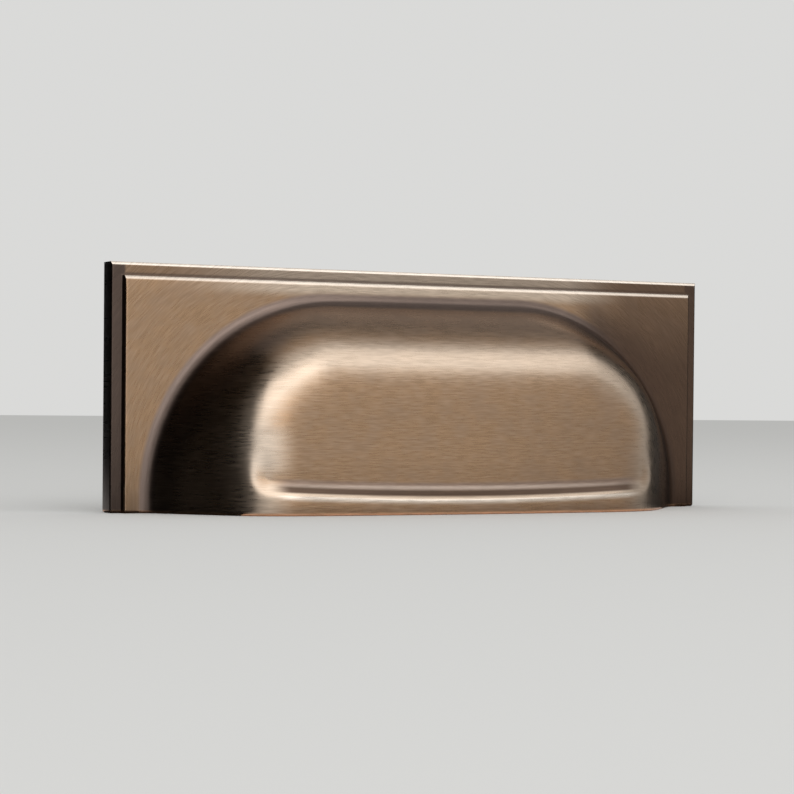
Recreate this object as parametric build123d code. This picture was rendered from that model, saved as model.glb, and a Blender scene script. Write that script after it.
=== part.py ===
from build123d import *
from math import cos, radians, sin, sqrt, tan
import os

# Cup pull for a drawer or cabinet front, cast in brass as one piece.
# +X is to the right along the front, +Y goes into the cabinet front, +Z is up.
# The origin is midway between the two fixing holes, in the plane of the cabinet front.
# Every depth is measured forward from that plane, towards -Y. All sizes are in millimetres.

# Backplate: a rectangular base with a smaller raised face, flush with it along the bottom only
plate_width = 110.0
plate_height = 40.0
base_thickness = 3.5
raised_thickness = 1.1
step_width = 1.9
plate_edge_bevel = 0.35

# Cup: an arch that draws in from its foot on the plate to a broad front panel
foot_half_width = 48.6
foot_height = 34.6
foot_corner_radius = 30.0
side_draft = 38.0
top_draft = 24.0
panel_depth = 20.2
panel_corner_radius = 20.0
panel_bow_radius = 980.0
shoulder_radius = 12.0
foot_fillet_radius = 2.0
wall_thickness = 2.4

# Lip along the lower edge of the cup, standing forward of the panel
lip_depth = 21.8
lip_bow_radius = 370.0
lip_hollow_top = 5.2
lip_hollow_radius = 2.9
lip_crest_radius = 0.6
lip_crest_reach = 36.0
lip_tuck = 0.12
rim_edge_radius = 0.4
grip_edge_bevel = 0.6

# Fixing: two bosses inside the cup, drilled and tapped M4 from the back
hole_spacing = 76.0
hole_height = 18.0
tap_radius = 1.65
tap_depth = 8.0
boss_radius = 4.5

bottom = -hole_height
plate_thickness = base_thickness + raised_thickness
side_slope = radians(side_draft)
top_slope = radians(top_draft)
upward = (0, 0, 1)
tiny = 0.001


def at_depth(depth):
    """Plane parallel to the cabinet front, with its local Y pointing up."""
    return Plane.XZ.offset(depth)


def edges_where(solid, test):
    """Edges that pass a test at both ends and in the middle."""
    return [edge for edge in solid.edges() if all(test(edge @ place) for place in (0, 0.5, 1))]


def plate_slab(width, height, thickness):
    """Slab of the backplate: front edges bevelled and mitred at the corners, lower edge left square."""
    side_outline = Plane.YZ * Pos(-thickness / 2, bottom + height / 2) * Rectangle(thickness, height)
    plan_outline = Pos(0, -thickness / 2) * Rectangle(width, thickness)
    top_corner = side_outline.vertices().sort_by(Axis.Y)[:2].sort_by(Axis.Z)[-1]
    side_corners = plan_outline.vertices().group_by(Axis.Y)[0]
    side_profile = chamfer(top_corner, plate_edge_bevel)
    plan_profile = chamfer(side_corners, plate_edge_bevel)
    along_height = extrude(Pos(0, 0, bottom) * plan_profile, height, dir=upward)
    return extrude(side_profile, width / 2, both=True) & along_height


def backplate():
    """Base with the smaller raised face in front of it."""
    raised_face = plate_slab(plate_width - 2 * step_width, plate_height - step_width, plate_thickness)
    return plate_slab(plate_width, plate_height, base_thickness) + raised_face


def arch(half_width, height, radius, depth, below):
    """Arch at a depth: straight sides rising from below the bottom line, round corners, flat top."""
    outline = Pos(0, bottom + (height - below) / 2) * Rectangle(2 * half_width, height + below)
    corners = outline.vertices().group_by(Axis.Y)[-1]
    return at_depth(depth) * fillet(corners, radius)


def cup_section(depth, inset, below):
    """Section of the cup's drafted walls, moved inward by an inset measured square to the wall."""
    forward = depth - plate_thickness
    narrowing = (foot_corner_radius - panel_corner_radius) / (panel_depth - plate_thickness)
    half_width = foot_half_width - forward * tan(side_slope) - inset / cos(side_slope)
    height = foot_height - forward * tan(top_slope) - inset / cos(top_slope)
    radius = foot_corner_radius - forward * narrowing - inset
    return arch(half_width, height, radius, depth, below)


def cup_form(inset=0.0, below=0.0):
    """Drafted walls closed by the slightly bowed panel, with the broad round shoulder between."""
    depth = panel_depth - inset
    bow = panel_bow_radius - inset
    overshoot = 3.0
    walls = loft([cup_section(0, inset, below), cup_section(depth + overshoot, inset, below)], ruled=True)
    form = walls & Pos(0, bow - depth, 0) * Cylinder(bow, 4 * plate_height)
    panel = form.faces().filter_by(GeomType.CYLINDER).sort_by(Axis.Y)[0]
    panel_border = panel.edges().sort_by(Axis.Z)[1:]
    return fillet(panel_border, shoulder_radius - inset)


def plan_curve(depth, bow, out, tuck):
    """Outline of the cup seen from below, as one smooth line: wall, shoulder, front, shoulder, wall.

    The line is moved outward by out. The walls alone start further in by tuck."""
    along = Vector(-sin(side_slope), -cos(side_slope))
    square = Vector(cos(side_slope), -sin(side_slope))
    bow_centre = Vector(0, bow - depth)
    foot = Vector(foot_half_width, -plate_thickness) - square * tuck
    start = foot - square * shoulder_radius - bow_centre
    reach = start.dot(along)
    travel = sqrt(reach**2 - start.dot(start) + (bow - shoulder_radius) ** 2) - reach
    towards = (start + along * travel).normalized()
    shoulder_centre = bow_centre + start + along * travel
    radius = shoulder_radius + out
    right = [
        foot + square * out,
        shoulder_centre + square * radius,
        shoulder_centre + (square + towards).normalized() * radius,
        shoulder_centre + towards * radius,
    ]
    left = [Vector(-point.X, point.Y) for point in right]
    return Wire([
        Line(right[0], right[1]),
        ThreePointArc(right[1], right[2], right[3]),
        ThreePointArc(right[3], Vector(0, -depth - out), left[3]),
        ThreePointArc(left[3], left[2], left[1]),
        Line(left[1], left[0]),
    ])


def plain_lip():
    """Ledge in front of the panel, hollowed above so that it runs out where the sides fall back."""
    outline = plan_curve(lip_depth, lip_bow_radius, 0, lip_tuck)
    plan = make_face(Wire(outline.edges() + [Line(outline @ 1, outline @ 0)]))
    ledge = extrude(Pos(0, 0, bottom) * plan, lip_hollow_top, dir=upward)
    bite = 0.004
    path = plan_curve(panel_depth, panel_bow_radius, lip_hollow_radius - bite, 0)
    path = Pos(0, 0, bottom + lip_hollow_top) * path
    hollow = sweep(Plane(path @ 0, z_dir=path % 0) * Circle(lip_hollow_radius), path)
    return ledge - hollow


def lip_pieces():
    """The lip in three lengths: the middle with its crest rounded, and the ends where it dies away."""
    plain = plain_lip()
    span = Box(2 * lip_crest_reach, plate_width, plate_width)
    middle = plain & span

    def on_crest(point):
        return bottom + rim_edge_radius < point.Z < bottom + lip_hollow_top - tiny

    return [fillet(edges_where(middle, on_crest), lip_crest_radius), plain - span]


def boss(x):
    """Round post from the cabinet front up to the cup's wall."""
    return extrude(at_depth(0) * Pos(x, 0) * Circle(boss_radius), panel_depth) & cup_form()


def tapped_hole(x):
    """Blind hole at tapping size, with a flat end."""
    return extrude(at_depth(0) * Pos(x, 0) * Circle(tap_radius), tap_depth)


def outer_casting():
    """Backplate, cup and lip as one solid form, with every outer edge eased."""
    body = backplate() + cup_form()

    def at_cup_foot(point):
        within = abs(point.X) < foot_half_width + tiny and point.Z < bottom + foot_height + tiny
        return within and abs(point.Y + plate_thickness) < tiny

    def on_outer_rim(point):
        return abs(point.Z - bottom) < tiny and point.Y < -tiny

    body = fillet(edges_where(body, at_cup_foot), foot_fillet_radius)
    for piece in lip_pieces():
        body = body + piece
    return fillet(edges_where(body, on_outer_rim), rim_edge_radius)


def cup_pull():
    """The casting, hollowed from the back and from below, with its two tapped bosses."""
    body = outer_casting() - cup_form(wall_thickness, wall_thickness)
    inside = foot_half_width - wall_thickness

    def on_grip_edge(point):
        return abs(point.Z - bottom) < tiny and -panel_depth < point.Y < -tiny and abs(point.X) < inside

    body = chamfer(edges_where(body, on_grip_edge), grip_edge_bevel)
    for side in (-1, 1):
        body = body + boss(side * hole_spacing / 2)
        body = body - tapped_hole(side * hole_spacing / 2)
    return body


os.makedirs("parts", exist_ok=True)
part = cup_pull()
export_step(part, "parts/cup_pull.step")
print("volume", round(part.volume), "valid", part.is_valid, "solids", len(part.solids()), "faces", len(part.faces()))
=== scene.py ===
from math import cos, pi, prod, radians, sin, tan

import bmesh
import bpy
import numpy as np
from mathutils import Matrix, Vector


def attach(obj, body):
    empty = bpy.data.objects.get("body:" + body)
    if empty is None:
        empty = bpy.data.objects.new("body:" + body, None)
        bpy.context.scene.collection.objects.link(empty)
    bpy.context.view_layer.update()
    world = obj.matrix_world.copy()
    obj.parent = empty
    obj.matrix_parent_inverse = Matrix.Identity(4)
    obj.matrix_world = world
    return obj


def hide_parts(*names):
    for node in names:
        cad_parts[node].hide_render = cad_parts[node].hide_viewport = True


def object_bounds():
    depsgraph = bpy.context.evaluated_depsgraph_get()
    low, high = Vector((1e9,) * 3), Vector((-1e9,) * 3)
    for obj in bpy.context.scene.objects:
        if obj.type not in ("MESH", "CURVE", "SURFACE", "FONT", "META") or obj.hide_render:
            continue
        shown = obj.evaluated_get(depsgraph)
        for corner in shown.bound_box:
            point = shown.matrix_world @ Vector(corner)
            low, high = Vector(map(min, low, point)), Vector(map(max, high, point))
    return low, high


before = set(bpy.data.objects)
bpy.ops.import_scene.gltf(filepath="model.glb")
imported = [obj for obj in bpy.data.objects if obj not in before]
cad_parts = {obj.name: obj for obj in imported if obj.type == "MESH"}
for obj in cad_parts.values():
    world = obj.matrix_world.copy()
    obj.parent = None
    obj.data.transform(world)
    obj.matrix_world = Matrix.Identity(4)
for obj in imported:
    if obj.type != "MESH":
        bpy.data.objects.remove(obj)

cadBox = [list(corner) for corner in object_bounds()]
mm = 0.001
print("handle loaded, box in mm:", [[round(v / mm, 1) for v in corner] for corner in cadBox])


# A socket as a number: an expression on it adds its Math nodes
class Wire:
    def __init__(self, tree, socket):
        self.tree = tree
        self.socket = socket

    def math(self, operation, *others):
        return self.tree.add("ShaderNodeMath", {"operation": operation}, [self, *others])

    def __add__(self, other):
        return self.math("ADD", other)

    def __radd__(self, other):
        return self.math("ADD", other)

    def __sub__(self, other):
        return self.math("SUBTRACT", other)

    def __rsub__(self, other):
        return self.tree.add("ShaderNodeMath", {"operation": "SUBTRACT"}, [other, self])

    def __mul__(self, other):
        return self.math("MULTIPLY", other)

    def __rmul__(self, other):
        return self.math("MULTIPLY", other)

    def __truediv__(self, other):
        return self.math("DIVIDE", other)

    def __pow__(self, other):
        return self.math("POWER", other)

    def __abs__(self):
        return self.math("ABSOLUTE")

    def larger(self, other):
        return self.math("MAXIMUM", other)

    def scaled(self, factor):
        return self.tree.add("ShaderNodeVectorMath", {"operation": "SCALE"}, {0: self, "Scale": factor})


class ShaderTree:
    def __init__(self, owner):
        owner.use_nodes = True
        self.tree = owner.node_tree
        self.tree.nodes.clear()

    # Adds a node: its settings first, then the values or links of its sockets, by place or by name
    def node(self, kind, settings=None, inputs=None):
        node = self.tree.nodes.new(kind)
        for name, value in (settings or {}).items():
            setattr(node, name, value)
        pairs = inputs.items() if isinstance(inputs, dict) else enumerate(inputs or [])
        for key, value in pairs:
            if isinstance(value, Wire):
                self.tree.links.new(value.socket, node.inputs[key])
            else:
                node.inputs[key].default_value = value
        return node

    def add(self, kind, settings=None, inputs=None, output=0):
        return Wire(self, self.node(kind, settings, inputs).outputs[output])

    def split(self, vector):
        node = self.node("ShaderNodeSeparateXYZ", {}, [vector])
        return [Wire(self, output) for output in node.outputs]

    def join(self, x, y, z):
        return self.add("ShaderNodeCombineXYZ", {}, [x, y, z])

    def noise(self, vector, detail):
        inputs = {"Vector": vector, "Scale": 1.0, "Detail": detail}
        return self.add("ShaderNodeTexNoise", {"noise_dimensions": "3D"}, inputs)

    def occlusion(self, reach, inside=False):
        settings = {"samples": 8, "only_local": True, "inside": inside}
        return self.add("ShaderNodeAmbientOcclusion", settings, {"Distance": reach * mm}, "AO")

    # 0 below low, 1 above high, smooth between
    def smooth(self, value, low, high):
        settings = {"interpolation_type": "SMOOTHSTEP"}
        return self.add("ShaderNodeMapRange", settings, [value, low, high, 0.0, 1.0])

    # The same with its ends either way round, and what is left where it is at its least
    def ramp(self, value, nothing, full, least=0.0):
        rising = full > nothing
        ramp = self.smooth(value, nothing, full) if rising else 1 - self.smooth(value, full, nothing)
        return least + ramp * (1 - least) if least else ramp

    def mixColour(self, factor, first, second, blend="MIX"):
        settings = {"data_type": "RGBA", "blend_type": blend}
        node = self.node("ShaderNodeMix", settings, {0: factor, 6: first, 7: second})
        return Wire(self, node.outputs[2])


camera = {
    "place": (-172.65, -348.57, -0.76),  # mm
    "turn": 26.0,  # degrees to the right of straight on
    "dip": 0.935,
    "roll": 0.538,
    "lens": 103.41,
    "sensor": 36.0,
    "lift": 0.0599,
}

floor = {
    "size": 6.0,  # metres
    "drop": 0.02,  # mm below the handle
    "colour": (0.80, 0.80, 0.79, 1),
}

studio = {"light": 0.60, "backdrop": 0.70, "tint": (1.0, 1.0, 0.985, 1)}

lamps = {
    # place and size in mm, power in watts; each is aimed at the handle
    "sideSoftbox": {"place": (-250, -830, 350), "size": (760, 840), "power": 2.3},
    "topSoftbox": {"place": (350, -568, 677), "size": (900, 560), "power": 1.08},
}

cards = {
    # mm; reflected in the metal only, and the greys run from the lower edge to the upper
    "darkCardLeft": {
        "centre": (-84, 51, 88), "size": (298, 220), "faces": (1, 0, 0), "greys": (0.01, 0.01)},
    "darkCardRight": {
        "centre": (112, 10, 40), "size": (80, 120), "faces": (-1, 0, 0), "greys": (0.05, 0.05)},
    "darkCardBelow": {
        "centre": (-103, -60, -18.01), "size": (130, 120), "faces": (0, 0, 1), "greys": (0.01, 0.01)},
    "darkCardBelowRight": {
        "centre": (89, 12, -18.01), "size": (90, 86), "faces": (0, 0, 1), "greys": (0.02, 0.02)},
    "cardAbove": {
        "centre": (150, 60, 330), "size": (700, 420), "faces": (0, -0.2, -1), "greys": (0.10, 0.86)},
    "cardBehind": {
        "centre": (260, 420, 330), "size": (800, 500), "faces": (-0.44, -0.60, -0.50), "greys": (0.05, 0.05)},
}


def addObject(name, data):
    piece = bpy.data.objects.new(name, data)
    bpy.context.scene.collection.objects.link(piece)
    return piece


def makeCamera():
    data = bpy.data.cameras.new("view")
    data.lens = camera["lens"]
    data.sensor_width = camera["sensor"]
    data.shift_y = camera["lift"]
    data.clip_start = 0.01
    view = addObject("view", data)
    turn = Matrix.Rotation(-radians(camera["turn"]), 4, "Z")
    dip = Matrix.Rotation(pi / 2 - radians(camera["dip"]), 4, "X")
    roll = Matrix.Rotation(radians(camera["roll"]), 4, "Z")
    view.matrix_world = Matrix.Translation(Vector(camera["place"]) * mm) @ turn @ dip @ roll
    bpy.context.scene.camera = view


def makeRectangle(name, centre, size, faces):
    wide, high = [side * mm / 2 for side in size]
    corners = [(-wide, -high, 0), (wide, -high, 0), (wide, high, 0), (-wide, high, 0)]
    mesh = bpy.data.meshes.new(name)
    mesh.from_pydata(corners, [], [(0, 1, 2, 3)])
    piece = addObject(name, mesh)
    piece.location = Vector(centre) * mm
    piece.rotation_euler = Vector(faces).to_track_quat("Z", "Y").to_euler()
    return piece


def makeFloor():
    size = floor["size"] / mm
    lowest = cadBox[0][2] / mm - floor["drop"]
    piece = makeRectangle("floor", (0, 0, lowest), (size, size), (0, 0, 1))
    material = bpy.data.materials.new("paleFloor")
    tree = ShaderTree(material)
    shader = tree.add("ShaderNodeBsdfDiffuse", {}, {"Color": floor["colour"]})
    tree.node("ShaderNodeOutputMaterial", {}, {"Surface": shader})
    piece.data.materials.append(material)


def makeLamps():
    for name, lamp in lamps.items():
        data = bpy.data.lights.new(name, "AREA")
        data.shape = "RECTANGLE"
        data.size, data.size_y = [side * mm for side in lamp["size"]]
        data.energy = lamp["power"]
        piece = addObject(name, data)
        piece.location = Vector(lamp["place"]) * mm
        piece.rotation_euler = (-piece.location).to_track_quat("-Z", "Y").to_euler()


def makeCards():
    for name, card in cards.items():
        piece = makeRectangle(name, card["centre"], card["size"], card["faces"])
        material = bpy.data.materials.new(name)
        tree = ShaderTree(material)
        lower, upper = [(grey, grey, grey, 1) for grey in card["greys"]]
        coordinates = tree.node("ShaderNodeTexCoord")
        height = tree.split(Wire(tree, coordinates.outputs["Object"]))[1] / (card["size"][1] * mm) + 0.5
        shader = tree.add("ShaderNodeEmission", {}, {"Color": tree.mixColour(height, lower, upper)})
        tree.node("ShaderNodeOutputMaterial", {}, {"Surface": shader})
        piece.data.materials.append(material)
        piece.visible_camera = False
        piece.visible_shadow = False
        piece.visible_diffuse = False


# The camera and the metal see a pale backdrop; what it sheds as light is a little less
def makeWorld():
    world = bpy.data.worlds.new("studio")
    bpy.context.scene.world = world
    tree = ShaderTree(world)
    path = tree.node("ShaderNodeLightPath")
    cameraRay, glossyRay, clearRay = [
        Wire(tree, path.outputs[name]) for name in ("Is Camera Ray", "Is Glossy Ray", "Is Transmission Ray")]
    seen = cameraRay.larger(glossyRay).larger(clearRay)
    strength = studio["light"] + seen * (studio["backdrop"] - studio["light"])
    shader = tree.add("ShaderNodeBackground", {}, {"Color": studio["tint"], "Strength": strength})
    tree.node("ShaderNodeOutputWorld", {}, {"Surface": shader})


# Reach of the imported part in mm: half its width, its top, its bottom and how far it stands forward
halfWidth, top = [round(cadBox[1][axis] / mm, 2) for axis in (0, 2)]
bottom, reach = round(cadBox[0][2] / mm, 2), round(-cadBox[0][1] / mm, 2)

casting = {
    # mm and degrees; depths are measured forward from the cabinet front
    "baseThickness": 3.5, "plateThickness": 4.6,
    "sideStep": 2.0, "topStep": 2.2, "stepRoot": 0.3,
    "sideEdge": (0.35, 80.0), "topEdge": (1.0, 45.0),  # radius, and the angle it turns through
    "rimRound": 0.4,
    "faceFall": (0.20, 2.8),  # the raised face falls back by this towards its top edge, from this far below
    "footHalfWidth": 49.2, "footTop": 16.6, "footCorner": 32.0, "footBlend": 1.75,
    "sideDraft": 40.4, "topDraft": 24.0,
    "panelDepth": 20.2, "panelCorner": 11.5, "panelBow": 980.0,
    "cornerSoftening": 1.5,  # reach of the average that softens the panel's corners
    "shoulderRadii": (10.0, 20.0), "shoulderTurn": 20.0,  # by the wall, by the front, and the angle between
    "shoulderEase": 1.5, "easeSamples": 7,
    "lipBow": 370.0, "lipRunsOut": (4.5, 11.0), "lipBelly": 0.022,
    "recessHalfWidth": 36.8, "recessBottom": 2.45, "recessSag": 0.00075, "recessCorner": 3.0,
    "hollowWidth": 2.3, "hollowCurve": 1.5, "crestRound": 0.40,
    "scoop": (0.15, 2.3, 7.0),  # depth below the panel, where it is deepest and where it ends
    "wall": 2.4, "gripBevel": 0.6,
    "columnStep": 0.38, "rowStep": 0.32, "lipRowStep": 0.12, "lipRows": 6.5,  # grid of the front
    "edgePoints": 8, "rimPoints": 6,
}

cavity = {
    # mm; the block that hollows the cup reaches past the lower edge, the cup's foot and the cabinet front
    "halfWidth": 48.0, "below": 2.0, "above": 0.5, "shallowest": -1.0, "behind": 3.0, "step": 0.5,
}

bosses = {
    # mm; bury is how deep in the cup's wall a boss ends, as a share of the wall
    "spacing": 76.0, "radius": 4.5, "tapRadius": 1.65, "tapDepth": 8.0, "mouth": 0.25, "bury": 0.35,
    "turns": 48,  # points round a boss
}

finishing = {"weld": 0.002, "sliver": 0.001, "sharpAngle": 35.0}  # mm, mm, degrees


sideRate = tan(radians(casting["sideDraft"]))
topRate = tan(radians(casting["topDraft"]))
cupReach = casting["panelDepth"] - casting["plateThickness"]
narrowing = (casting["footCorner"] - casting["panelCorner"]) / cupReach


# Smooth step from 0 to 1
def eased(n):
    held = np.clip(n, 0.0, 1.0)
    return held**2 * (3 - 2 * held)


# Integral of a smooth step: 0 before 0, then a curve that ends as the straight line n - 0.5
def easeInto(n):
    held = np.clip(n, 0.0, 1.0)
    return held**3 - held**4 / 2 + np.maximum(n - 1.0, 0.0)


# Half width, height above the middle of the holes and corner radius of the cup's section, at a rise
# from the plate and moved inward by an inset
def sectionAt(rise, inset):
    half = casting["footHalfWidth"] - inset / cos(radians(casting["sideDraft"])) - sideRate * rise
    height = casting["footTop"] - inset / cos(radians(casting["topDraft"])) - topRate * rise
    return half, height, casting["footCorner"] - inset - narrowing * rise


# Depth of the drafted walls at a place seen from the front, and how steeply they rise there
def wallDepth(x, z, inset):
    x = np.abs(x)
    half, height, radius = sectionAt(0.0, inset)
    acrossRate, upRate = sideRate - narrowing, topRate - narrowing
    dx, dz = x - (half - radius), z - (height - radius)
    # the corner is a slanted cone: its rise solves a quadratic
    a = acrossRate**2 + upRate**2 - narrowing**2
    b = 2 * (acrossRate * dx + upRate * dz + narrowing * radius)
    c = dx**2 + dz**2 - radius**2
    corner = -2 * c / (b + np.sqrt(np.maximum(b**2 - 4 * a * c, 1e-6)))
    onSide, onTop = (half - x) / sideRate, (height - z) / topRate
    inCorner = (dx + acrossRate * corner > 0) & (dz + upRate * corner > 0)
    rise = np.where(inCorner, corner, np.minimum(onSide, onTop))
    turned = radius - narrowing * corner
    swing = acrossRate * (dx + acrossRate * corner) + upRate * (dz + upRate * corner) + narrowing * turned
    steepness = np.where(onSide < onTop, 1 / sideRate, 1 / topRate)
    return casting["plateThickness"] + rise, np.where(inCorner, turned / swing, steepness)


# Distance in from the line where the front would meet the walls, and how steeply the walls rise there
def withinFront(x, z, panel, inset):
    half, height, radius = sectionAt(panel - casting["plateThickness"], inset)
    dx, dz = np.abs(x) - (half - radius), z - (height - radius)
    beyondX, beyondZ = np.maximum(dx, 0), np.maximum(dz, 0)
    beyond = np.maximum(np.hypot(beyondX, beyondZ), 1e-9)
    rate = ((sideRate - narrowing) * beyondX + (topRate - narrowing) * beyondZ) / beyond + narrowing
    return radius - beyond - np.minimum(np.maximum(dx, dz), 0), 1 / rate


# How far a shoulder lies behind the front that it leads from, at a distance in from where front and wall
# would meet
def shoulderFall(inward, steepness, tight, gentle):
    turn = radians(casting["shoulderTurn"])
    slant = np.sqrt(1 + steepness**2)
    run = tight * (steepness / slant - sin(turn)) + gentle * sin(turn)
    drop = tight * (cos(turn) - 1 / slant) + gentle * (1 - cos(turn))
    outward = run - drop / steepness - inward
    byFront = gentle - np.sqrt(gentle**2 - np.clip(outward, 0, gentle * sin(turn)) ** 2)
    onTight = np.clip(outward - (gentle - tight) * sin(turn), tight * sin(turn), tight * steepness / slant)
    byWall = tight * cos(turn) - np.sqrt(tight**2 - onTight**2)
    return np.where(outward > run, steepness * inward, -byFront - byWall)


# Walls closed by a bowed front, with a shoulder whose ends are eased
def cupDepth(x, z, front, bow, inset=0.0):
    walls, steepness = wallDepth(x, z, inset)
    panel = front - inset - x**2 / (2 * bow)
    within, rise = withinFront(x, z, panel, inset)
    inward = np.where(within > 0, within, (walls - panel) / steepness)
    rise = np.where(within > 0, rise, steepness)
    radii = [radius - inset for radius in casting["shoulderRadii"]]
    shifts = np.linspace(-casting["shoulderEase"], casting["shoulderEase"], casting["easeSamples"])
    falls = [shoulderFall(inward + shift, rise, *radii) for shift in shifts]
    return panel + sum(falls) / len(falls), steepness


# The cup without its lip: an average over nearby places softens the panel's corners
def plainCup(x, z):
    front, bow, soft = casting["panelDepth"], casting["panelBow"], casting["cornerSoftening"]
    nearby = [(soft, 0), (-soft, 0), (0, soft), (0, -soft), (soft, soft), (-soft, soft)]
    depth, steepness = cupDepth(x, z, front, bow)
    for dx, dz in nearby:
        depth = depth + cupDepth(x + dx, z + dz, front, bow)[0]
    return depth / (len(nearby) + 1), steepness


# Distance in from the outline of the recess above the lip, with its sagging floor and round lower corners
def withinRecess(x, height):
    corner = casting["recessCorner"]
    across = np.abs(x) - (casting["recessHalfWidth"] - corner)
    below = casting["recessBottom"] + casting["recessSag"] * x**2 + corner - height
    inward = corner - np.hypot(np.maximum(across, 0), np.maximum(below, 0))
    return np.where((across < 0) & (below < 0), corner + np.minimum(-across, -below), inward)


# The cup with its lip: proud of the panel below the recess, hollowed in it, and running out upwards
def cupWithLip(x, z):
    plain, steepness = plainCup(x, z)
    proud, _ = cupDepth(x, z, reach, casting["lipBow"])
    height = z - bottom
    start, end = casting["lipRunsOut"]
    excess = (proud - plain) * (1 - eased((height - start) / (end - start)))
    inward = withinRecess(x, height)
    softened = (inward + np.sqrt(inward**2 + casting["crestRound"] ** 2)) / 2
    hollow = (1 - np.minimum(softened / casting["hollowWidth"], 1)) ** casting["hollowCurve"]
    scoop, deepest, ending = casting["scoop"]
    scooped = np.clip(softened / deepest, 0, 1) * np.clip((ending - softened) / (ending - deepest), 0, 1)
    belly = casting["lipBelly"] * np.minimum(inward, 0) ** 2
    share = excess / (reach - casting["panelDepth"])
    return plain + excess * hollow - (belly + eased(scooped) * scoop) * share, steepness


# Whole front of the casting inside the step, with the cup's foot blended into the plate
def frontDepth(x, z):
    cup, steepness = cupWithLip(x, z)
    plate, blend = casting["plateThickness"], casting["footBlend"]
    away = (cup - plate) / steepness
    return plate + steepness * 2 * blend * easeInto((away + blend) / (2 * blend))


# Section across a stepped edge of the plate: distance in from the outer edge, and depth
def stepProfile(edge, step):
    base, full, root = casting["baseThickness"], casting["plateThickness"], casting["stepRoot"]
    radius, turn = edge
    part = np.linspace(0, 1, casting["edgePoints"])
    lean = radians(turn) * (1 - part)
    inward = radius * (np.sin(lean[0]) - np.sin(lean))
    fall = radius * (1 - np.cos(lean))
    bend = part * pi / 2
    across = np.concatenate([[0], inward, step - root + root * np.sin(bend), step + inward])
    depth = np.concatenate([[0], base - fall, base + root * (1 - np.cos(bend)), full - fall])
    return across, depth


def evenly(start, end, step):
    return np.linspace(start, end, int(round(abs(end - start) / step)) + 1)


# Closed mesh between a front grid and a flat back, all points in mm
def gridSolid(name, across, forward, along, back):
    count = across.size
    front = np.stack([across, -forward, along], axis=-1).reshape(-1, 3)
    behind = np.stack([across, np.full_like(across, -back), along], axis=-1).reshape(-1, 3)
    first = np.arange(count).reshape(across.shape)
    quads = np.stack([first[:-1, :-1], first[1:, :-1], first[1:, 1:], first[:-1, 1:]], axis=-1).reshape(-1, 4)
    rim = np.concatenate([first[:, 0], first[-1, 1:], first[-2::-1, -1], first[0, -2:0:-1]])
    following = np.roll(rim, -1)
    sides = np.stack([rim, rim + count, following + count, following], axis=-1)
    faces = np.concatenate([quads, quads[:, ::-1] + count, sides])
    mesh = bpy.data.meshes.new(name)
    mesh.from_pydata((np.concatenate([front, behind]) * mm).tolist(), [], faces.tolist())
    return addObject(name, mesh)


# Adds the rows where the lower rim turns under, square to the outline seen from below
def turnUnder(across, forward, along):
    ease = casting["rimRound"]
    angles = np.linspace(0, pi / 2, casting["rimPoints"])[:0:-1]
    outline = np.stack([across[:, 0], forward[:, 0]], axis=-1)
    run = np.gradient(outline, axis=0)
    length = np.maximum(np.hypot(run[:, 0], run[:, 1]), 1e-9)
    outward = np.stack([-run[:, 1], run[:, 0]], axis=-1) / length[:, None]
    under = outline[:, None] - outward[:, None] * (ease * (1 - np.cos(angles)))[:, None]
    lower = np.broadcast_to(bottom + ease * (1 - np.sin(angles)), under.shape[:2])
    pairs = ((under[..., 0], across), (under[..., 1], forward), (lower, along))
    return [np.concatenate(pair, axis=1) for pair in pairs]


# The casting's front and sides as one closed block
def makeFrontBlock():
    sideAcross, sideDepth = stepProfile(casting["sideEdge"], casting["sideStep"])
    topAcross, topDepth = stepProfile(casting["topEdge"], casting["topStep"])
    fieldHalf, fieldTop = halfWidth - sideAcross[-1], top - topAcross[-1]
    lipTop = bottom + casting["lipRows"]
    columns = evenly(-fieldHalf, fieldHalf, casting["columnStep"])[1:-1]
    lipRows = evenly(bottom + casting["rimRound"], lipTop, casting["lipRowStep"])
    rows = np.concatenate([lipRows, evenly(lipTop, fieldTop, casting["rowStep"])[1:-1]])
    edge = halfWidth - sideAcross
    x = np.concatenate([-edge, columns, edge[::-1]])
    z = np.concatenate([rows, top - topAcross[::-1]])
    # depths along the stepped edges, with the field between them left open
    sideBorder = np.concatenate([sideDepth, np.full(len(columns), np.inf), sideDepth[::-1]])
    topBorder = np.concatenate([np.full(len(rows), np.inf), topDepth[::-1]])
    border = np.minimum(*np.meshgrid(sideBorder, topBorder, indexing="ij"))
    across, along = np.meshgrid(x, z, indexing="ij")
    forward = np.where(np.isinf(border), frontDepth(across, along), border)
    fall, below = casting["faceFall"]
    nearTop = np.clip(1 - (top - casting["topStep"] - along) / below, 0, 1) ** 2
    raised = (forward - casting["baseThickness"]) / (casting["plateThickness"] - casting["baseThickness"])
    forward = forward - fall * nearTop * np.clip(raised, 0, 1)
    across, forward, along = turnUnder(across, forward, along)
    return gridSolid("castCupPull", across, np.maximum(forward, 0.0), along, 0.0)


# What the hollow takes away, from the back and from below
def makeCavity():
    x = evenly(-cavity["halfWidth"], cavity["halfWidth"], cavity["step"])
    z = evenly(bottom - cavity["below"], casting["footTop"] + cavity["above"], cavity["step"])
    across, along = np.meshgrid(x, z, indexing="ij")
    deep, _ = cupDepth(across, along, casting["panelDepth"], casting["panelBow"], casting["wall"])
    deep = deep + np.clip(casting["gripBevel"] - (along - bottom), 0, casting["gripBevel"])
    return gridSolid("cavity", across, np.maximum(deep, cavity["shallowest"]), along, -cavity["behind"])


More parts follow.
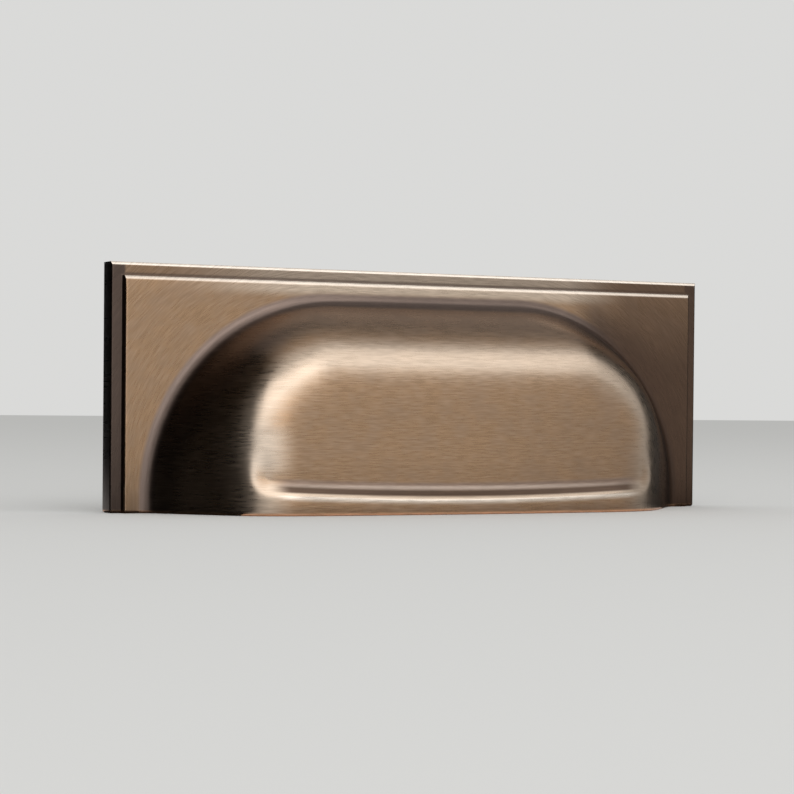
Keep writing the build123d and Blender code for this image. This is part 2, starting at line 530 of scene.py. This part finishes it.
# Takes one object away from another and leaves a plain mesh
def cutAway(block, tool):
    cut = block.modifiers.new("hollow", "BOOLEAN")
    cut.operation = "DIFFERENCE"
    cut.solver = "EXACT"
    cut.object = tool
    shaped = bpy.data.meshes.new_from_object(block.evaluated_get(bpy.context.evaluated_depsgraph_get()))
    block.modifiers.clear()
    bpy.data.objects.remove(tool)
    block.data = shaped


# A depth that lies within the cup's wall, nearer to its inner face
def insideWall(x, z):
    outer, inner = [
        cupDepth(np.array([x]), np.array([z]), casting["panelDepth"], casting["panelBow"], inset)[0][0]
        for inset in (0.0, casting["wall"])]
    return float(inner + bosses["bury"] * (outer - inner))


# Section of a boss, from the flat end of its blind hole round to its root: radius and depth, with no depth
# where it ends in the wall
def bossSection():
    tap, mouth = bosses["tapRadius"], bosses["mouth"]
    hole = [(0, bosses["tapDepth"]), (tap, bosses["tapDepth"]), (tap, mouth), (tap + mouth, 0)]
    return hole + [(bosses["radius"], 0), (bosses["radius"], None), (0, None)]


# A post with a blind hole, turned about the hole's own axis
def makeBoss(mesh, x):
    turns = bosses["turns"]
    loops = []
    for radius, depth in bossSection():
        loop = []
        for i in range(turns if radius else 1):
            angle = 2 * pi * i / turns
            px, pz = x + radius * cos(angle), radius * sin(angle)
            forward = insideWall(px, pz) if depth is None else depth
            loop.append(mesh.verts.new(Vector((px, -forward, pz)) * mm))
        loops.append(loop * (turns // len(loop)))
    for lower, upper in zip(loops, loops[1:]):
        for i in range(turns):
            j = (i + 1) % turns
            mesh.faces.new(list(dict.fromkeys((lower[i], lower[j], upper[j], upper[i]))))


def makeCasting():
    piece = makeFrontBlock()
    cutAway(piece, makeCavity())
    mesh = bmesh.new()
    mesh.from_mesh(piece.data)
    bmesh.ops.remove_doubles(mesh, verts=mesh.verts, dist=finishing["weld"] * mm)
    bmesh.ops.dissolve_degenerate(mesh, edges=mesh.edges, dist=finishing["sliver"] * mm)
    for side in (-1, 1):
        makeBoss(mesh, side * bosses["spacing"] / 2)
    bmesh.ops.recalc_face_normals(mesh, faces=mesh.faces)
    mesh.to_mesh(piece.data)
    mesh.free()
    piece.data.shade_smooth()
    piece.data.set_sharp_from_angle(angle=radians(finishing["sharpAngle"]))
    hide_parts("cup_pull")
    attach(piece, "root")
    return piece


agedBrassWithPaintedLight = {
    "bodyWarm": (0.428, 0.266, 0.153, 1),
    "bodyGrey": (0.398, 0.262, 0.168, 1),
    # partly aged metal, partly a painted tint of the light bands reflected in the cove round the cup's foot
    # and above the lip's crease
    "mauve": (0.29, 0.222, 0.196, 1),
    # lightened partly by wear, and painted highlights on the shoulder, on the plate above the cup and low on
    # the left of the shoulder
    "rubbedAndHighlight": (0.66, 0.54, 0.43, 1),
    # light metal where edges wear, and painted highlights along the plate's upper edges, the lip's crest and
    # low on the left shoulder
    "wornAndHighlight": (0.86, 0.76, 0.66, 1),
    # dark oxide in the hollows, and also painted shade on the cup's walls, foot and right side, the cove, the
    # lip's face and beside the cup
    "patinaAndShade": (0.085, 0.058, 0.046, 1),
    # dark oxide in the lip's crease, and painted shadow on the plate right of the cup
    "umber": (0.088, 0.049, 0.030, 1),
    # painted highlight colour for the glint along the lower rim
    "copper": (0.80, 0.44, 0.26, 1),
    "shade": 1.013, "roughness": 0.31, "coat": 0.35, "coatRoughness": 0.30,
    "lineDepth": 0.0008, "strokeDepth": 0.001,  # mm
    "creviceReach": 2.2, "edgeReach": 0.9,  # mm
    "unevenCrevice": 0.2, "unevenEdge": 0.15,
    "footDrift": 0.5, "driftOver": (-30.0, -8.0),  # mm that the dark line at the foot moves out, and where
}

brush = {
    # spots per mm, along and across the brush: first where it runs level, then round the arch
    "lines": ((0.40, 4.6), (0.40, 4.6)), "lineEnds": (0.30, 0.78), "lineDetail": 1.5,
    "strokes": ((0.05, 2.2), (0.08, 1.6)), "strokeDetail": 2.0,
    "mottle": 0.20, "mottleDetail": 3.0,
    "tone": (0.5, 0.9), "toneDetail": 2.0,
    # how far a line wanders in mm: a little, and more towards the right
    "sway": (0.10, 0.35), "swayDetail": 2.0, "wander": 0.35, "wanderRight": 1.1, "right": (10.0, 40.0),
    "halvesApart": 20.0,  # keeps the left and right rings from being mirror images
}

# Ramps that several masks share
outside = ("facing", -0.35, -0.15)
onCup = ("depth", 4.7, 5.6)
onPlate = ("depth", 5.6, 4.7)
lowerFace = ("depth", 3.75, 3.55)
roundFoot = [outside, ("fromFoot", -1.7, -0.9), ("fromFoot", 1.0, 0.1)]
nearLip = [onCup, outside, ("height", 9.0, 4.5), ("side", 34.5, 30.5)]
upperEdge = [onPlate, ("upward", 0.06, 0.30), ("upward", 0.84, 0.74)]

# Masks of age and wear, and masks of painted shade and painted highlights
ageingAndPaintedLight = {
    # a mask is a product of ramps; each has what it reads, where it is nothing and where it is full, in mm
    # or as a share of the normal, and last, if it isn't 0, what is left where it is at its least
    "onPlate": [onPlate],
    "turnedRight": [("x", 22.0, 34.0), ("facing", 0.985, 0.86)],
    "brushed": [("facing", 0.2, 0.8)],
    "crevice": [("hollows", 0.86, 0.45)],
    # partly wear, partly a painted highlight: convex edges lightened, most where they face up
    "edgeWearAndHighlight": [("edges", 0.66, 0.42), ("upward", 0.05, 0.40, 0.25)],
    # painted shade: the cup's steep side walls darkened, the left one most
    "leftWallShade": [("facing", 0.80, 0.30), ("sideward", -0.15, -0.55)],
    "rightWallShade": [("facing", 0.80, 0.30), ("sideward", 0.15, 0.55)],
    # partly wear, partly a painted highlight: the cup's shoulder lightened where it turns to the front
    "shoulder": [onCup, ("facing", 0.55, 0.86), ("facing", 0.995, 0.93)],
    # painted highlight low on the left side of the cup's shoulder
    "lowShoulderHighlight": [onCup, ("facing", 0.78, 0.92), ("x", -29.0, -35.0), ("height", 5.0, 8.5),
                    ("height", 16.0, 12.0)],
    # painted shade: the cup darker towards its right, most low down
    "cupRightShade": [onCup, ("x", -6.0, 42.0), ("height", 26.0, 8.0, 0.5)],
    # painted highlight along the band of plate just above the cup, none at its far ends
    "stripHighlight": [onPlate, outside, ("z", 16.9, 18.6), ("x", -46.0, -24.0), ("x", 42.0, 28.0)],
    # painted shadow: the plate right of the cup darkened, most low down
    "plateRightShadow": [onPlate, outside, ("x", 28.0, 41.0), ("z", 22.0, 4.0, 0.7)],
    # painted shadow of the cup on the plate beside its right foot
    "shadowBesideCup": [onPlate, outside, ("x", 27.0, 35.0), ("fromFoot", -7.5, -1.5)],
    "footLine": [outside, ("footDrift", 0.0, 0.5), ("fromFoot", 1.2, 0.6)],
    # painted shade on the cup's wall just above its foot, deepest at the right
    "footShade": [outside, ("fromFoot", -0.2, 0.6), ("fromFoot", 5.0, 2.2), ("x", 18.0, 34.0, 0.767)],
    # mauve in the cove round the cup's foot: partly aged metal, partly a painted tint of the light band it
    # reflects
    "cove": roundFoot,
    # painted shade in the cove round the cup's foot, from the middle to the right
    "coveShadeRight": [*roundFoot, ("x", -30.0, 0.0)],
    "crease": [*nearLip, ("inward", 0.30, 0.70), ("inward", 1.8, 1.2)],
    # mauve above the lip's crease: partly aged metal, partly a painted tint of the light band it reflects
    "aboveCrease": [*nearLip, ("inward", 0.9, 1.8), ("inward", 2.95, 2.3)],
    # partly wear, partly a painted highlight along the lip's crest
    "crest": [*nearLip, ("inward", -1.0, -0.1), ("inward", 0.18, -0.12)],
    # painted shade: the lip's face darkened near its lower edge
    "lipFaceShade": [onCup, ("height", 0.2, 0.5), ("height", 2.2, 0.5)],
    # painted highlight: a copper-coloured glint along the lower rim
    "rim": [("height", 0.60, 0.18)],
    "stepFace": [lowerFace],
    "sideStep": [lowerFace, outside, ("side", 52.4, 52.9, 0.4286)],
    "belowTopStep": [lowerFace, outside, ("z", 20.5, 20.1, 0.5122)],
    # painted highlights along the upward-facing top edges of the plate and of its raised face
    "baseTopEdgeHighlight": [*upperEdge, ("z", 21.45, 21.6)],
    "raisedTopEdgeHighlight": [*upperEdge, ("depth", 3.85, 4.0), ("z", 19.1, 19.45)],
}

layers = [
    # laid over the body in this order: the colour, and how strongly each mask shows it
    ("rubbedAndHighlight", {"shoulder": 0.75, "stripHighlight": 0.80, "lowShoulderHighlight": 0.80}),
    ("patinaAndShade", {"leftWallShade": 0.78, "rightWallShade": 0.40}),
    ("patinaAndShade", {"crevice": 0.70}),
    ("patinaAndShade", {"footShade": 0.86}),
    ("mauve", {"cove": 0.85, "aboveCrease": 0.65}),
    ("patinaAndShade", {"coveShadeRight": 0.45, "cupRightShade": 0.30}),
    ("umber", {"crease": 0.95}),
    ("patinaAndShade", {"footLine": 0.85, "stepFace": 0.42, "sideStep": 0.98, "belowTopStep": 0.82}),
    ("patinaAndShade", {"shadowBesideCup": 0.85}),
    ("umber", {"plateRightShadow": 0.97}),
    ("patinaAndShade", {"lipFaceShade": 0.28}),
    ("wornAndHighlight", {"edgeWearAndHighlight": 0.80, "baseTopEdgeHighlight": 1.0, "raisedTopEdgeHighlight": 0.75, "crest": 0.85,
              "lowShoulderHighlight": 0.22}),
    ("copper", {"rim": 0.85}),
]

varying = {
    # how much each noise or mask adds
    "body": {"mottle": 0.7, "tone": 0.25, "lines": 0.25}, "bodyEnds": (-0.16, 0.16),
    "shade": {"lines": 0.26, "strokes": 0.18},
    "roughness": {"lines": 0.09, "mottle": 0.10, "crevice": 0.22, "cove": 0.25, "crease": 0.12,
                  "aboveCrease": 0.12, "edgeWearAndHighlight": -0.06},
}


# What the masks and the brush read at each place of the casting, in mm and as shares of the normal
def readPlace(tree):
    coordinates = tree.node("ShaderNodeTexCoord")
    inMetres = Wire(tree, coordinates.outputs["Object"])
    place = tree.add("ShaderNodeMapping", {}, {"Vector": inMetres, "Scale": [1 / mm] * 3})
    x, y, z = tree.split(place)
    sideward, backward, upward = tree.split(Wire(tree, coordinates.outputs["Normal"]))
    side, height = abs(x), z - bottom

    # rings round the arch: how far out they are, and how far along them
    radius = casting["footCorner"]
    centreX, centreZ = casting["footHalfWidth"] - radius, casting["footTop"] - radius
    beyondX, beyondZ = (side - centreX).larger(0.0), (z - centreZ).larger(0.0)
    out = (beyondX * beyondX + beyondZ * beyondZ) ** 0.5
    along = beyondX.math("ARCTAN2", beyondZ) * radius + side.math("MINIMUM", centreX)
    fromFoot = radius - out
    drift = tree.smooth(x, *agedBrassWithPaintedLight["driftOver"]) * agedBrassWithPaintedLight["footDrift"]

    # how far in from the outline of the recess above the lip
    corner = casting["recessCorner"]
    lowest = x * x * casting["recessSag"] + (casting["recessBottom"] + corner)
    aside = (side - (casting["recessHalfWidth"] - corner)).larger(0.0)
    under = (lowest - height).larger(0.0)
    inward = corner - (aside * aside + under * under) ** 0.5

    mottle = tree.noise(place.scaled(brush["mottle"]), brush["mottleDetail"]) - 0.5
    hollows = tree.occlusion(agedBrassWithPaintedLight["creviceReach"]) + mottle * agedBrassWithPaintedLight["unevenCrevice"]
    edges = tree.occlusion(agedBrassWithPaintedLight["edgeReach"], inside=True) + mottle * agedBrassWithPaintedLight["unevenEdge"]
    return {
        "x": x, "side": side, "z": z, "height": height, "depth": 0 - y,
        "sideward": sideward, "facing": 0 - backward, "upward": upward,
        "out": out, "along": along, "fromFoot": fromFoot, "footDrift": fromFoot + drift,
        "inward": inward, "mottle": mottle, "hollows": hollows, "edges": edges,
    }


# Lines, strokes and tone left by the brush, level on the cup's front and in rings round the arch elsewhere
def brushMarks(tree, spot, rings):
    x, depth, z = spot["x"], spot["depth"], spot["z"]
    half = x.math("SIGN") * brush["halvesApart"]
    swayX, swayZ = brush["sway"]
    sway = tree.noise(tree.join(x * swayX, depth * swayX, z * swayZ), brush["swayDetail"]) - 0.5
    wave = sway * (brush["wander"] + tree.smooth(x, *brush["right"]) * brush["wanderRight"])

    def drawn(sizes, detail):
        (levelAlong, levelAcross), (roundAlong, roundAcross) = sizes
        level = tree.join(x * levelAlong, depth * levelAlong, (z + wave) * levelAcross)
        ringed = tree.join(spot["along"] * roundAlong, half, (spot["out"] + wave) * roundAcross)
        level, ringed = tree.noise(level, detail), tree.noise(ringed, detail)
        return level + rings * (ringed - level)

    lines = tree.smooth(drawn(brush["lines"], brush["lineDetail"]), *brush["lineEnds"])
    strokes = drawn(brush["strokes"], brush["strokeDetail"])
    toneX, toneZ = brush["tone"]
    tone = tree.noise(tree.join(x * toneX, depth * toneX, z * toneZ), brush["toneDetail"])
    return {"lines": lines - 0.5, "strokes": strokes - 0.5, "tone": tone - 0.5, "mottle": spot["mottle"]}


# Brushed brass, darkened by age in its hollows and lightened by wear on its edges, with painted shade and
# painted highlights laid over it
def makeBrass():
    look = agedBrassWithPaintedLight
    material = bpy.data.materials.new("agedBrassWithPaintedLight")
    tree = ShaderTree(material)
    spot = readPlace(tree)
    masks = {
        name: prod(tree.ramp(spot[read], *ends) for read, *ends in ramps) for name, ramps in ageingAndPaintedLight.items()}
    marks = brushMarks(tree, spot, masks["onPlate"].larger(masks["turnedRight"]))
    fields = {**masks, **marks}

    def added(amounts):
        return sum(fields[name] * amount for name, amount in amounts.items())

    def strongest(strengths):
        shown, *others = [masks[name] * strength for name, strength in strengths.items()]
        for other in others:
            shown = shown.larger(other)
        return shown

    greyer = tree.smooth(added(varying["body"]), *varying["bodyEnds"])
    colour = tree.mixColour(greyer, look["bodyWarm"], look["bodyGrey"])
    for name, strengths in layers:
        colour = tree.mixColour(strongest(strengths), colour, look[name])
    shade = look["shade"] + added(varying["shade"])
    colour = tree.mixColour(1.0, colour, tree.join(shade, shade, shade), "MULTIPLY")
    lineRelief = (marks["lines"] + 0.5) * look["lineDepth"]
    relief = (lineRelief + marks["strokes"] * look["strokeDepth"]) * masks["brushed"] * mm
    normal = tree.add("ShaderNodeBump", {}, {"Strength": 1.0, "Distance": 1.0, "Height": relief})
    shader = tree.add("ShaderNodeBsdfPrincipled", {}, {
        "Base Color": colour, "Metallic": 1.0, "Roughness": look["roughness"] + added(varying["roughness"]),
        "Normal": normal, "Coat Weight": look["coat"], "Coat Roughness": look["coatRoughness"]})
    tree.node("ShaderNodeOutputMaterial", {}, {"Surface": shader})
    return material


bpy.context.scene.view_settings.view_transform = "Standard"
makeCamera()
makeWorld()
makeFloor()
makeLamps()
makeCards()
print("camera, floor and lamps made")

cupPull = makeCasting()
print("casting made,", len(cupPull.data.polygons), "faces")

brass = makeBrass()
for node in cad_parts.values():
    for slot in node.material_slots:
        slot.material = brass
cupPull.data.materials.clear()
cupPull.data.materials.append(brass)
print("finish made")
